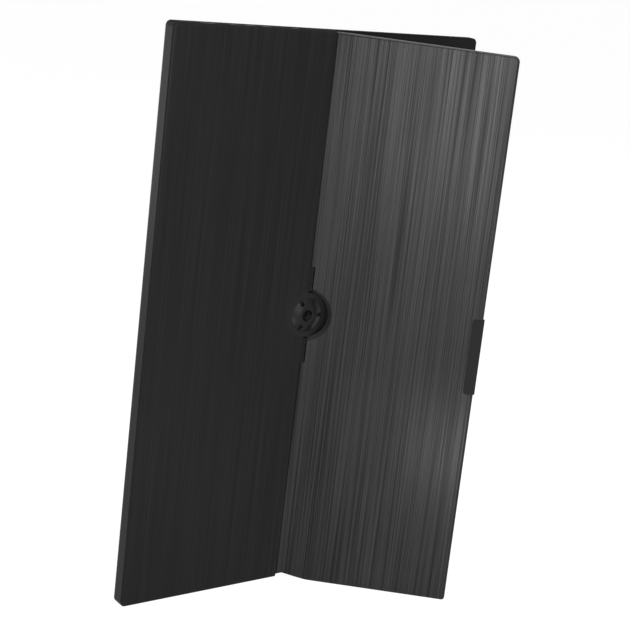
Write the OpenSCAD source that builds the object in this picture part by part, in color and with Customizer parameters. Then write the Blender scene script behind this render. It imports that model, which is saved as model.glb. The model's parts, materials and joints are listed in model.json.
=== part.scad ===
// Portable monitor whose back carries a half-width stand flap.
// It stands on its short edge: X runs across, Z up, and the back faces -Y.
// The origin lies on the bottom edge, at mid-width and mid-thickness.

/* [Body] */
// Width across the short side
body_w = 226.4; // [215:0.1:245]
// Height of the long side
body_h = 360; // [352:0.5:390]
// Radius of the body's four corners
corner_r = 3.2; // [2:0.1:6]
// Radius of the rounding along the back edges
edge_r = 1.3; // [0.6:0.1:1.5]
// Wall of the rear housing
wall = 1.5; // [1.2:0.1:1.8]
// Wall behind the flap recess
floor_t = 1.0; // [0.8:0.1:1.6]
// Depth of the flap recess
recess_depth = 4.0; // [3.8:0.1:5]
// Thickness of the front bezel
bezel_t = 1.3; // [1:0.1:2]
// Rounding of the bezel's front edge
bezel_edge_r = 0.5; // [0.2:0.1:0.9]
// Thickness of the bezel's inner lip
lip_t = 1.0; // [0.8:0.1:1.3]
// Clearance between the lip and the housing
lip_gap = 0.1; // [0.05:0.05:0.3]

/* [Screen] */
// Picture area across the short side
active_w = 193.6; // [185:0.1:196]
// Picture area along the long side
active_h = 344.2; // [335:0.1:345]
// Bezel width on the narrow long side
bezel_side = 8; // [6.8:0.1:10]
// How far the panel reaches under the bezel on the long sides
panel_side_lap = 4.1; // [3:0.1:4.5]
// How far it reaches under the bezel on the chin side
panel_chin_lap = 7.6; // [6:0.1:9]
// How far it reaches under the bezel on the short sides
panel_end_lap = 3.25; // [2:0.05:4]
// Adhesive strip behind the panel
tape_t = 0.4; // [0.35:0.05:0.8]
// Sheet of the panel's metal tray
tray_t = 0.3; // [0.2:0.05:0.5]
// Reflector sheet
reflector_t = 0.2; // [0.1:0.05:0.3]
// Light guide plate
guide_t = 0.9; // [0.6:0.1:1.5]
// Diffuser and prism films together
films_t = 0.3; // [0.2:0.05:0.5]
// Liquid crystal cell, both glasses
cell_t = 1.1; // [0.8:0.1:1.6]
// Front polariser
polariser_t = 0.15; // [0.1:0.05:0.3]
// Free space in front of the films, and behind the bezel
panel_gap = 0.1; // [0.05:0.05:0.2]
// Width of the backlight's light bar
led_bar_w = 2.6; // [2:0.1:4]
// Number of lights on the bar
led_count = 32; // [16:2:40]

/* [Stand flap] */
// Opening of the flap in the rest pose, in degrees
rest_open = 42; // [0:1:90]
// Place of the folded flap's hinge edge
flap_edge_x = 0.1; // [-1:0.1:2]
// Gap between the folded flap and the recess wall
hinge_gap = 1.0; // [0.9:0.05:1.6]
// The same gap beside the hinge barrels
land_gap = 0.35; // [0.3:0.05:0.6]
// Clearance under the folded flap
flap_rest_gap = 0.3; // [0.3:0.05:0.6]
// How much shorter than the body the flap is, at its top end
flap_reveal = 0.6; // [0.3:0.1:2]
// Corner radius at the flap's free upper corner
flap_top_r = 3.7; // [2:0.1:6]
// Corner radius at the flap's free lower corner
flap_bottom_r = 1.9; // [1.8:0.1:6]
// Height of the slanted cut at the flap's lower hinge corner
heel_h = 3; // [1:0.1:4]
// Where the slanted cut begins
heel_x0 = 5; // [3:0.5:8]
// Where the slanted cut ends
heel_x1 = 23; // [15:0.5:40]
// Wall of the flap's outer cover
flap_wall = 1.3; // [1:0.1:1.4]
// Width of the cover's rim
flap_rim = 2.2; // [1.8:0.1:3.5]
// Ledge that carries the flap's inner plate
flap_ledge = 1.2; // [0.8:0.1:2]
// Thickness of the flap's inner plate
plate_t = 1.0; // [0.8:0.1:1.2]
// Clearance round the inner plate
plate_gap = 0.15; // [0.1:0.05:0.3]
// Thickness of the flap's stiffening sheet
stiffener_t = 0.5; // [0.3:0.1:0.6]
// Radius of the rubber bumpers
bumper_r = 4; // [2:0.5:6]
// How far the bumpers sink into the inner plate
bumper_sink = 0.5; // [0.3:0.1:0.6]

/* [Pull tab] */
// Height of the pull tab's middle
tab_z = 167.6; // [100:0.1:260]
// Length of the pull tab
tab_l = 49.8; // [30:0.1:70]
// Width of the pull tab on the flap's face
tab_w = 6.6; // [5:0.1:12]
// How far the tab stands out past the free edge
tab_out = 0.9; // [0.4:0.1:2]
// How deep the tab sits in the flap's face
tab_depth = 0.8; // [0.5:0.1:0.9]
// How far the tab stands proud of the face
tab_proud = 0.25; // [0.1:0.05:0.6]
// Radius of the tab's corners
tab_r = 2; // [1:0.1:3]

/* [Hub] */
// Height of the hub's centre
hub_z = 180; // [150:0.5:200]
// Radius of the cut-out in the flap round the hub
cutout_r = 15.1; // [14.9:0.1:15.3]
// Clearance between the platform and the cut-out
platform_gap = 0.6; // [0.4:0.05:1]
// Radius of the ring's cone at the back face
cone_r = 10.9; // [10:0.1:11.5]
// Radius of the ring's flat top
cone_top_r = 6.85; // [6:0.05:8]
// Height of the ring above the back face
cone_h = 1.7; // [1:0.1:2.5]
// How deep the ring is let into the platform
ring_sink = 1.0; // [0.6:0.1:1.2]
// Clearance round the ring
ring_gap = 0.1; // [0.05:0.05:0.3]
// Width of the ring's three notches
notch_w = 2.6; // [1.5:0.1:4]
// Inner radius of the notches
notch_r = 7.3; // [6.8:0.1:8.5]
// Material left under the notches
notch_floor = 0.3; // [0.2:0.1:0.6]
// Radius of the mouth over the threaded insert
mouth_r = 3.6; // [3.3:0.1:4.2]
// Lip that the mouth keeps over the insert
mouth_lip = 0.6; // [0.4:0.1:1]
// Wall radius of the insert's quarter-inch thread
thread_r = 2.55; // [2.4:0.05:2.65]
// Outer radius of the insert's barrel
insert_r = 4.6; // [4.2:0.1:5]
// Radius of the insert's flange
insert_flange_r = 6.5; // [6:0.1:7]
// Thickness of the insert's flange
insert_flange_t = 1.0; // [0.8:0.1:1.4]
// Radius of the steel backing plate
backing_r = 12.4; // [11:0.1:12.6]
// Thickness of the steel backing plate
backing_t = 0.8; // [0.6:0.1:1]
// Radius of the circle of screws in the backing plate
hub_screw_circle = 9.8; // [9:0.1:10.2]

/* [Hinges] */
// Distance from the hub's centre to the near end of each hinge
hinge_in = 15.4; // [15.4:0.1:17]
// Distance from the hub's centre to the far end of each hinge
hinge_out = 31.5; // [30:0.1:40]
// Length of the body's knuckle
body_knuckle_l = 7; // [5:0.1:8]
// Radius of the flap's knuckles
flap_knuckle_r = 1.8; // [1.7:0.05:1.8]
// Radius of the body's knuckle
body_knuckle_r = 1.65; // [1.5:0.05:1.7]
// Radius of the hinge pins
pin_r = 0.8; // [0.6:0.05:0.9]
// Running clearance of the pins in the flap's knuckles
pin_gap = 0.04; // [0.02:0.01:0.08]
// Thickness of the friction washers
washer_t = 0.3; // [0.2:0.05:0.5]
// Free space on each side of a washer
washer_gap = 0.05; // [0.03:0.01:0.1]
// Sheet of the hinge leaves
leaf_t = 0.8; // [0.6:0.1:0.9]
// Reach of the body's leaves behind the recess wall
body_leaf_l = 20; // [18:0.5:26]
// Reach of the flap's leaves into the flap
flap_leaf_l = 26; // [22:0.5:34]

/* [Electronics] */
// Left edge of the main board
board_x0 = -100; // [-104:0.5:-96]
// Right edge of the main board
board_x1 = -16; // [-20:0.5:-14]
// Length of the main board along the long side
board_l = 54.8; // [50:0.1:80]
// Gap between the main board and the end wall
board_end_gap = 3.7; // [3.7:0.1:4]
// Thickness of the main board
board_t = 0.8; // [0.6:0.1:1]
// Height of the bosses that carry the main board
board_standoff = 2.4; // [2.3:0.1:2.5]
// Place of the power and video socket
socket_x = -30; // [-34:0.5:-28]
// Outer width of the socket's shell
socket_w = 8.94; // [8.6:0.02:9.2]
// Outer height of the socket's shell
socket_h = 3.26; // [3:0.02:3.3]
// Wall of the socket's shell
socket_wall = 0.3; // [0.2:0.05:0.4]
// Length of the socket's shell
socket_l = 7.1; // [6.5:0.1:9]
// Clearance of the socket's slot in the housing
socket_gap = 0.15; // [0.1:0.05:0.3]
// Width of the flat cable to the driver board
flex_w = 16; // [10:0.5:18]
// Thickness of the flat cable
flex_t = 0.2; // [0.1:0.05:0.2]
// Width of the driver board
driver_w = 10; // [8:0.5:11]
// Thickness of the driver board
driver_t = 0.8; // [0.6:0.1:1]

/* [Buttons] */
// Place of the power button
power_x = -90; // [-94:0.5:-88]
// Length of the power button
power_l = 10; // [8:0.5:12]
// Place of the first menu button
menu_x = -72; // [-74:0.5:-70]
// Spacing of the three menu buttons
menu_pitch = 11; // [10:0.5:13]
// Length of each menu button
menu_l = 7; // [5:0.5:8]
// Width of the buttons
button_w = 2.2; // [1.8:0.1:2.4]
// Travel of the buttons
button_travel = 0.4; // [0.2:0.05:0.45]
// Clearance round the buttons
button_gap = 0.2; // [0.15:0.05:0.3]
// How far the button tops lie below the end face
button_inset = 0.1; // [0:0.05:0.3]
// Overhang of the flange that keeps a button in
button_flange = 0.9; // [0.6:0.1:1.2]
// Place of the status light
light_x = -81; // [-82:0.5:-80]
// Radius of the status light's pipe
light_r = 0.8; // [0.5:0.1:1]

/* [Hidden] */
$fn = 48;

eps = 0.01;
far = 20;

// Layers from the front face to the back face
module_t = tray_t + reflector_t + guide_t + films_t + cell_t + polariser_t + panel_gap / 2;
body_t = bezel_t + panel_gap + module_t + tape_t + floor_t + recess_depth;
y_front = body_t / 2;
y_back = -body_t / 2;
y_inside = y_back + wall;
y_floor = y_back + recess_depth;
y_floor_in = y_floor + floor_t;
y_tray = y_floor_in + tape_t;
y_reflector = y_tray + tray_t;
y_guide = y_reflector + reflector_t;
y_films = y_guide + guide_t;
y_cell = y_films + films_t + panel_gap / 2;
y_polariser = y_cell + cell_t;
y_screen = y_polariser + polariser_t;
y_bezel = y_screen + panel_gap;

// Body outline
half_w = body_w / 2;
in_x = half_w - wall;
in_z0 = wall;
in_z1 = body_h - wall;

// Picture window and panel outline
win_x0 = -half_w + bezel_side;
win_x1 = win_x0 + active_w;
win_z0 = (body_h - active_h) / 2;
win_z1 = win_z0 + active_h;
pan_x0 = win_x0 - panel_side_lap;
pan_x1 = win_x1 + panel_chin_lap;
pan_z0 = win_z0 - panel_end_lap;
pan_z1 = win_z1 + panel_end_lap;
film_lap = 2;

// Light guide and films, inside the tray's rim and beside the light bar
tray_gap = 0.2;
led_gap = 0.1;
led_w = 1.2;
led_t = 0.6;
led_half_l = 1.9;
guide_x0 = pan_x0 + tray_t + tray_gap;
guide_x1 = pan_x1 - tray_t - tray_gap - led_bar_w - led_gap;
guide_z0 = pan_z0 + tray_t + tray_gap;
guide_z1 = pan_z1 - tray_t - tray_gap;

// Lip and hooks that snap the bezel into the housing, along both long sides
lip_h = 1.4;
hook_zs = [for (i = [1 : 6]) body_h * i / 7];
hook_l = 6;
hook_barb = 0.4;
hook_room = 0.1;
hook_y0 = y_bezel - 2.6;
hook_y1 = hook_y0 + 0.7;

// Flap, described folded shut
flap_t = recess_depth - flap_rest_gap;
y_flap_in = y_back + flap_t;
y_plate = y_flap_in - plate_t;
y_cavity = y_back + flap_wall;
flap_z1 = body_h - flap_reveal;
hinge_r = flap_t / 2;
hinge_x = flap_edge_x + hinge_r;
hinge_y = y_back + hinge_r;
wall_x = flap_edge_x - hinge_gap;
land_x = flap_edge_x - land_gap;
plate_x0 = flap_edge_x + 4.3;
plate_x1 = half_w - flap_rim + flap_ledge;
plate_z0 = heel_h + flap_rim;
plate_z1 = flap_z1 - flap_rim + flap_ledge;
cavity_x0 = plate_x0 + flap_ledge;
cavity_x1 = plate_x1 - flap_ledge;
cavity_z0 = plate_z0 + flap_ledge;
cavity_z1 = plate_z1 - flap_ledge;
knuckle_slot_x = hinge_x + flap_knuckle_r + 0.2;
hub_wall_r = cutout_r + 1.8;
bumper_xs = [cavity_x0 + 14, cavity_x1 - 8];
bumper_zs = [cavity_z0 + 10, cavity_z1 - 10];
tab_edge_sink = 1;
tab_ledge = 0.6;
tab_floor = 0.4;
tab_floor_lap = 3;

// Hub
platform_r = cutout_r - platform_gap;
hub_boss_r = backing_r + 1.1;
y_ring_top = y_back - cone_h;
y_ring_seat = y_back + ring_sink;
y_backing = y_floor_in - backing_t;
y_flange = y_backing - insert_flange_t;
y_insert_top = y_ring_top + mouth_lip;
fit_gap = 0.1;

// Hinges, measured from the hub's centre
knuckle_mid = (hinge_in + hinge_out) / 2;
body_k0 = knuckle_mid - body_knuckle_l / 2;
body_k1 = knuckle_mid + body_knuckle_l / 2;
washer_room = washer_t + 2 * washer_gap;
flap_k0 = hinge_in + 0.2;
flap_k1 = hinge_out - 0.2;
leaf_z0 = hub_wall_r + 0.6;
leaf_z1 = flap_k1;
body_leaf_y1 = hinge_y + body_knuckle_r;
body_leaf_y0 = body_leaf_y1 - leaf_t;
body_leaf_z0 = knuckle_mid - 6;
body_leaf_z1 = knuckle_mid + 6;
leaf_screw_xs = [wall_x - wall - 6, wall_x - wall - 14];
flap_screw_xs = [cavity_x0 + 6, cavity_x0 + 16];
flap_screw_zs = [leaf_z0 + 2.6, leaf_z1 - 2.6];
screw_r = 0.9;
screw_hole_r = 1.0;
screw_head_r = 1.8;
screw_head_t = 0.6;
hole_sink = 0.8;
board_screw_l = 3.4;
leaf_screw_l = 2.8;
hub_screw_l = 2.8;
hub_screw_angles = [60, 180, 300];

// Main board and what stands on it
board_z1 = in_z1 - board_end_gap;
board_z0 = board_z1 - board_l;
y_board = y_inside + board_standoff;
y_board_front = y_board + board_t;
board_inset = 4;
board_holes = [
  [board_x0 + board_inset, board_z0 + board_inset], [board_x1 - board_inset, board_z0 + board_inset],
  [board_x0 + board_inset, board_z1 - board_inset - 6], [board_x1 - board_inset, board_z1 - board_inset]
];
boss_r = 2.6;
socket_y = y_board - 0.75;
socket_z1 = body_h - 0.3;
socket_z0 = socket_z1 - socket_l;
flex_z0 = board_z0 + 6;
flex_z1 = flex_z0 + flex_w;
flex_x0 = board_x1 - 44;
flex_y = y_floor_in + 0.05;
driver_x0 = pan_x1 + 1.5;
driver_z0 = body_h * 0.2;
driver_z1 = flex_z1 + 12;
y_driver = flex_y + flex_t;
driver_rest_zs = [driver_z0 + 20, (driver_z0 + driver_z1) / 2, flex_z0 - 8];
rib_zs = [in_z0 + 30, body_h * 0.28, body_h * 0.6, body_h * 0.72];
rib_t = 1.2;

// Parts on the main board: places from its corner at the low end, then sizes
chip_x = 30;
chip_z = 14;
chip_l = 14;
chip_t = 1.1;
coil_xs = [54, 62];
coil_z = 30;
coil_l = 5;
coil_t = 2;
regulator_x = 12;
regulator_zs = [12, 22];
regulator_w = 6;
regulator_l = 5;
regulator_t = 0.9;
crystal_x = 22;
crystal_z = 36;
crystal_w = 3.2;
crystal_l = 2.5;
crystal_t = 0.8;
converter_x = 54;
converter_z = 10;
converter_l = 6;
converter_t = 1;
cable_plug_l = 5;
cable_plug_lap = 1;
light_chip_w = 1.6;
light_chip_end = 0.2;
tongue_w = 6.68;
tongue_t = 0.7;
tongue_l = 4.45;
socket_back = 1.2;
foot_w = 0.3;
foot_l = 1.2;
foot_rise = 0.2;

// Chips on the driver board, and the films that reach it
driver_chip_x = 4;
driver_chip_w = 4;
driver_chip_l = 9;
driver_chip_t = 0.7;
driver_chip_zs = [driver_z0 + 40, (driver_z0 + driver_z1) / 2, driver_z1 - 50];
column_film_count = 5;
column_film_t = 0.12;
column_film_half_l = 10;
column_film_gap = 0.05;
column_film_lap = 3;

// Buttons
switch_h = 2.0;
switch_w = 4.4;
switch_l = 3;
switch_overhang = 0.4;
plunger_half_w = 1;
plunger_half_t = 0.5;
button_y = y_board - switch_h / 2 + 0.1;
button_top = body_h - button_inset;
flange_z1 = in_z1 - 0.1;
flange_z0 = flange_z1 - 0.8;
plunger_z = board_z1 + 1.1;
nub_z = plunger_z + button_travel + 0.1;
button_rows = [
  [power_x, power_l], [menu_x, menu_l], [menu_x + menu_pitch, menu_l],
  [menu_x + 2 * menu_pitch, menu_l]
];

// Colours
shell_grey = [0.13, 0.13, 0.135];
flap_grey = [0.17, 0.17, 0.175];
dark = [0.05, 0.05, 0.055];
rubber = [0.09, 0.09, 0.09];
steel = [0.62, 0.63, 0.65];
board_green = [0.05, 0.25, 0.12];

// A block from its two corners
module block(x0, x1, y0, y1, z0, z1) {
  translate([x0, y0, z0]) cube([x1 - x0, y1 - y0, z1 - z0]);
}

// A flat outline in X and Z, given thickness from y0 to y1
module sheet(y0, y1) {
  translate([0, y1, 0]) rotate([90, 0, 0]) linear_extrude(y1 - y0) children();
}

// A disc or bar of radius r along Y
module disc(x, z, y0, y1, r) {
  translate([x, y1, z]) rotate([90, 0, 0]) cylinder(r = r, h = y1 - y0);
}

// A cone along Y, radius r0 at y0 and r1 at y1
module cone(x, z, y0, y1, r0, r1) {
  translate([x, y1, z]) rotate([90, 0, 0]) cylinder(r1 = r1, r2 = r0, h = y1 - y0);
}

// A rectangle with round corners, in X and Z
module round_rect(x0, x1, z0, z1, r) {
  translate([x0 + r, z0]) square([x1 - x0 - 2 * r, z1 - z0]);
  translate([x0, z0 + r]) square([x1 - x0, z1 - z0 - 2 * r]);
  for (x = [x0 + r, x1 - r], z = [z0 + r, z1 - r]) translate([x, z]) circle(r);
}

// A slot outline of length l and width w, along X or standing about its centre
module slot_outline(l, w) {
  translate([-(l - w) / 2, -w / 2]) square([l - w, w]);
  for (s = [-1, 1]) translate([s * (l - w) / 2, 0]) circle(w / 2);
}

// Section of an edge: w inwards, t thick, its outer top corner rounded by r
module edge_section(w, t, r) {
  square([w - r, t]);
  square([w, t - r]);
  intersection() {
    translate([w - r, t - r]) circle(r);
    square([w, t]);
  }
}

// A plate in X and Z whose back edges (towards -Y) are rounded by re.
// rc holds the corner radii at lower left, lower right, upper right and upper left.
module rimmed_plate(x0, x1, z0, z1, y0, y1, rc, re) {
  t = y1 - y0;
  b = max(rc) + eps;
  translate([0, y1, 0]) rotate([90, 0, 0]) {
    translate([x0 + b, z0 + b, 0]) cube([x1 - x0 - 2 * b, z1 - z0 - 2 * b, t]);
    for (c = [
      [x0 + rc[0], z0 + rc[0], 180, rc[0]], [x1 - rc[1], z0 + rc[1], 270, rc[1]],
      [x1 - rc[2], z1 - rc[2], 0, rc[2]], [x0 + rc[3], z1 - rc[3], 90, rc[3]]
    ]) translate([c[0], c[1], 0]) rotate([0, 0, c[2]])
      rotate_extrude(angle = 90) edge_section(c[3], t, re);
    // Lower, right, upper and left edges
    translate([x0 + rc[0], z0 + b, 0]) edge_bar(x1 - x0 - rc[0] - rc[1], b, t, re);
    translate([x1 - b, z0 + rc[1], 0]) rotate([0, 0, 90])
      edge_bar(z1 - z0 - rc[1] - rc[2], b, t, re);
    translate([x1 - rc[2], z1 - b, 0]) rotate([0, 0, 180])
      edge_bar(x1 - x0 - rc[2] - rc[3], b, t, re);
    translate([x0 + b, z1 - rc[3], 0]) rotate([0, 0, 270])
      edge_bar(z1 - z0 - rc[3] - rc[0], b, t, re);
  }
}

// A straight stretch of edge, running along X with its rounded side towards -Y
module edge_bar(l, w, t, r) {
  rotate([90, 0, 90]) linear_extrude(l) mirror([1, 0]) edge_section(w, t, r);
}

// Places its children in the upper hinge, and mirrored in the lower one
module at_hinge(side) {
  translate([0, 0, hub_z]) mirror([0, 0, side < 0 ? 1 : 0]) children();
}

// Swings the folded flap's pieces out to the rest pose
module on_flap() {
  translate([hinge_x, hinge_y, 0]) rotate([0, 0, -rest_open]) translate([-hinge_x, -hinge_y, 0])
    children();
}

// Places its children, made for the right-hand side, at each snap hook on both sides
module at_hooks() {
  for (z = hook_zs, side = [0, 1]) mirror([side, 0, 0]) translate([0, 0, z]) children();
}

module rear_housing() {
  color(shell_grey) difference() {
    union() {
      housing_shell();
      housing_platform();
      housing_bosses();
    }
    hub_bores();
    hinge_slots();
    end_wall_ports();
    at_hooks() block(in_x - eps, in_x + hook_barb + 2 * hook_room, hook_y0 - hook_room,
      hook_y1 + hook_room, -hook_l / 2 - 0.5, hook_l / 2 + 0.5);
    for (p = board_holes) disc(p[0], p[1], y_inside - hole_sink, y_board + eps, screw_hole_r);
  }
}

// Outer shell with its thick half, its recess and the space inside
module housing_shell() {
  difference() {
    rimmed_plate(-half_w, half_w, 0, body_h, y_back, y_bezel,
      [corner_r, corner_r, corner_r, corner_r], edge_r);
    block(wall_x, half_w + far, y_back - far, y_floor, -far, body_h + far);
    block(-in_x, wall_x - wall, y_inside, y_bezel + eps, in_z0, in_z1);
    block(wall_x - wall - eps, in_x, y_floor_in, y_bezel + eps, in_z0, in_z1);
  }
}

// Platform that fills the flap's cut-out, and the lands behind the hinge barrels
module housing_platform() {
  disc(0, hub_z, y_back, y_floor + eps, platform_r);
  disc(0, hub_z, y_back, y_floor_in, hub_boss_r);
  for (s = [-1, 1]) at_hinge(s)
    block(wall_x - eps, land_x, y_back, y_floor + eps, platform_r - 4, hinge_out);
}

// Bosses and ribs inside
module housing_bosses() {
  for (p = board_holes) disc(p[0], p[1], y_inside - eps, y_board, boss_r);
  for (s = [-1, 1], x = leaf_screw_xs) at_hinge(s)
    disc(x, knuckle_mid, y_inside - eps, body_leaf_y0, boss_r);
  for (z = rib_zs) block(-in_x - eps, wall_x - wall - 26, y_inside - eps, y_tray, z, z + rib_t);
  for (z = driver_rest_zs)
    block(driver_x0 + 1, driver_x0 + driver_w - 1, y_floor_in - eps, y_driver, z, z + 4);
}

// Seats of the hub ring, the insert and the backing plate
module hub_bores() {
  disc(0, hub_z, y_back - eps, y_ring_seat, cone_r + ring_gap);
  disc(0, hub_z, y_ring_seat - eps, y_flange + eps, insert_r + fit_gap);
  disc(0, hub_z, y_flange - fit_gap / 2, y_backing + eps, insert_flange_r + fit_gap);
  disc(0, hub_z, y_backing - eps, y_floor_in + far, backing_r + fit_gap);
  for (a = hub_screw_angles) disc(hub_screw_circle * cos(a), hub_z + hub_screw_circle * sin(a),
    y_floor_in - hub_screw_l - 2 * fit_gap, y_backing + eps, screw_hole_r);
}

// Slots for the body leaves, with their screw holes
module hinge_slots() {
  for (s = [-1, 1]) at_hinge(s) {
    block(wall_x - wall - 2, land_x + far, body_leaf_y0 - 0.1, body_leaf_y1 + 0.1,
      body_k0 - 0.3, body_k1 + 0.3);
    block(wall_x - wall - 2, wall_x - wall + eps, body_leaf_y0 - 0.1, y_tray,
      body_leaf_z0 - 0.3, body_leaf_z1 + 0.3);
    for (x = leaf_screw_xs)
      disc(x, knuckle_mid, y_inside - hole_sink, body_leaf_y0 + eps, screw_hole_r);
  }
}

// Openings in the upper end wall: socket, buttons and status light
module end_wall_ports() {
  translate([socket_x, socket_y, in_z1 - far]) linear_extrude(2 * far)
    slot_outline(socket_w + 2 * socket_gap, socket_h + 2 * socket_gap);
  for (b = button_rows) translate([b[0], button_y, in_z1 - eps]) linear_extrude(far)
    slot_outline(b[1] + 2 * button_gap, button_w + 2 * button_gap);
  translate([light_x, button_y, in_z1 - eps]) cylinder(r = light_r + fit_gap, h = far);
}

module front_bezel() {
  color(dark) {
    difference() {
      union() {
        mirror([0, 1, 0]) rimmed_plate(-half_w, half_w, 0, body_h, -y_front, -y_bezel,
          [corner_r, corner_r, corner_r, corner_r], bezel_edge_r);
        difference() {
          block(-in_x + lip_gap, in_x - lip_gap, y_bezel - lip_h, y_bezel + eps,
            in_z0 + lip_gap, in_z1 - lip_gap);
          block(-in_x + lip_gap + lip_t, in_x - lip_gap - lip_t, y_bezel - far, y_bezel + far,
            in_z0 + lip_gap + lip_t, in_z1 - lip_gap - lip_t);
        }
      }
      block(win_x0, win_x1, y_bezel - far, y_front + far, win_z0, win_z1);
    }
    at_hooks() bezel_hook();
  }
}

// One snap hook on the right-hand side
module bezel_hook() {
  x1 = in_x - lip_gap;
  block(x1 - lip_t, x1, hook_y0, y_bezel - lip_h + hook_room, -hook_l / 2, hook_l / 2);
  block(x1 - lip_t, x1 + hook_barb, hook_y0, hook_y1, -hook_l / 2, hook_l / 2);
}

module polariser_film() {
  color([0.02, 0.02, 0.025])
    block(win_x0 - film_lap, win_x1 + film_lap, y_polariser, y_screen,
      win_z0 - film_lap, win_z1 + film_lap);
}

module lcd_cell() {
  color([0.08, 0.09, 0.1]) block(pan_x0, pan_x1, y_cell, y_polariser, pan_z0, pan_z1);
}

module diffuser_films() {
  color([0.93, 0.94, 0.95])
    block(guide_x0, guide_x1, y_films, y_films + films_t, guide_z0, guide_z1);
}

module light_guide() {
  color([0.85, 0.92, 0.95]) block(guide_x0, guide_x1, y_guide, y_films, guide_z0, guide_z1);
}

module reflector_sheet() {
  color([0.97, 0.97, 0.97]) block(guide_x0, guide_x1, y_reflector, y_guide, guide_z0, guide_z1);
}

module backlight_led_bar() {
  x0 = guide_x1 + led_gap;
  pitch = (guide_z1 - guide_z0) / led_count;
  color([0.95, 0.9, 0.6]) {
    block(x0, x0 + led_bar_w, y_reflector, y_guide, guide_z0, guide_z1);
    for (i = [0 : led_count - 1]) translate([0, 0, guide_z0 + pitch * (i + 0.5)])
      block(x0, x0 + led_w, y_guide - eps, y_guide + led_t, -led_half_l, led_half_l);
  }
}

module panel_tray() {
  color(steel) difference() {
    block(pan_x0, pan_x1, y_tray, y_films + films_t, pan_z0, pan_z1);
    block(pan_x0 + tray_t, pan_x1 - tray_t, y_reflector, y_cell, pan_z0 + tray_t, pan_z1 - tray_t);
  }
}

// Two strips that hold the tray to the wall behind it
module panel_tapes() {
  color([0.2, 0.2, 0.2]) for (x = [hub_boss_r + 8, pan_x1 - 18])
    block(x, x + 8, y_floor_in, y_tray, in_z0 + 20, flex_z0 - 8);
}

module driver_board() {
  color(board_green) {
    block(driver_x0, driver_x0 + driver_w, y_driver, y_driver + driver_t, driver_z0, driver_z1);
    for (z = driver_chip_zs) translate([driver_x0 + driver_chip_x, y_driver + driver_t, z])
      block(0, driver_chip_w, -eps, driver_chip_t, 0, driver_chip_l);
  }
}

// Films that bend from the cell's edge down to the driver board
module driver_films() {
  y0 = y_driver + driver_t;
  x0 = pan_x1 + column_film_gap;
  t = column_film_t;
  h = column_film_half_l;
  pitch = (driver_z1 - driver_z0) / column_film_count;
  color([0.55, 0.35, 0.12]) for (i = [0 : column_film_count - 1])
    translate([0, 0, driver_z0 + pitch * (i + 0.5)]) {
      block(x0, x0 + t, y0, y_polariser - 0.2, -h, h);
      block(x0, driver_x0 + column_film_lap, y0, y0 + t, -h, h);
    }
}

module panel_flex() {
  color([0.6, 0.45, 0.1])
    block(flex_x0, driver_x0 + driver_w * 0.6, flex_y, flex_y + flex_t, flex_z0, flex_z1);
}

module main_board() {
  color(board_green) difference() {
    block(board_x0, board_x1, y_board, y_board_front, board_z0, board_z1);
    for (p = board_holes) disc(p[0], p[1], y_board - eps, y_board_front + eps, screw_hole_r);
    block(socket_x - socket_w / 2 - 0.2, socket_x + socket_w / 2 + 0.2, y_board - eps,
      y_board_front + eps, socket_z0 - 1.7, board_z1 + eps);
  }
}

// Picture processor on the back of the board
module scaler_chip() {
  x = board_x0 + chip_x;
  z = board_z0 + chip_z;
  color(dark) block(x, x + chip_l, y_board - chip_t, y_board, z, z + chip_l);
}

// Coils, regulators, a crystal, the flat cable's connector and the status light's chip
module board_components() {
  color([0.22, 0.22, 0.24]) {
    for (x = coil_xs) board_part(x, coil_z, coil_l, coil_l, coil_t);
    for (z = regulator_zs) board_part(regulator_x, z, regulator_w, regulator_l, regulator_t);
    board_part(crystal_x, crystal_z, crystal_w, crystal_l, crystal_t);
    board_part(converter_x, converter_z, converter_l, converter_l, converter_t);
    board_part(light_x - light_chip_w / 2 - board_x0, board_l - light_chip_w - light_chip_end,
      light_chip_w, light_chip_w, light_chip_w);
    block(flex_x0, flex_x0 + cable_plug_l, y_board_front, flex_y, flex_z0 - cable_plug_lap,
      flex_z1 + cable_plug_lap);
  }
}

// A part of size w by l by t on the back of the board, its corner at x, z from the board's own
module board_part(x, z, w, l, t) {
  translate([board_x0 + x, 0, board_z0 + z]) block(0, w, y_board - t, y_board, 0, l);
}

// A low-head screw along Y, head towards +Y, whose head rests at y
module low_screw(x, z, y, l) {
  disc(x, z, y, y + screw_head_t, screw_head_r);
  disc(x, z, y - l, y + eps, screw_r);
}

module board_screws() {
  color(steel) for (p = board_holes) low_screw(p[0], p[1], y_board_front, board_screw_l);
}

module usb_c_shell() {
  color(steel) translate([socket_x, socket_y, 0]) {
    difference() {
      translate([0, 0, socket_z0]) linear_extrude(socket_l) slot_outline(socket_w, socket_h);
      translate([0, 0, socket_z0 + socket_back]) linear_extrude(socket_l)
        slot_outline(socket_w - 2 * socket_wall, socket_h - 2 * socket_wall);
    }
    for (s = [-1, 1]) translate([s * socket_w / 2 - foot_w / 2, 0, socket_z0 + 1])
      cube([foot_w, y_board - socket_y + foot_rise, foot_l]);
  }
}

module usb_c_tongue() {
  color(dark) translate([socket_x - tongue_w / 2, socket_y - tongue_t / 2, socket_z0 + socket_back])
    cube([tongue_w, tongue_t, tongue_l]);
}

module tact_switches() {
  z = board_z1 + switch_overhang;
  color([0.3, 0.3, 0.32]) for (b = button_rows) translate([b[0], 0, 0]) {
    block(-switch_w / 2, switch_w / 2, y_board - switch_h, y_board, board_z1 - switch_l, z);
    block(-plunger_half_w, plunger_half_w, button_y - plunger_half_t, button_y + plunger_half_t,
      z - 0.1, plunger_z);
  }
}

module status_light_pipe() {
  color([0.9, 0.95, 1]) translate([light_x, button_y, board_z1 + 0.1])
    cylinder(r = light_r, h = button_top - board_z1 - 0.1);
}

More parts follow.
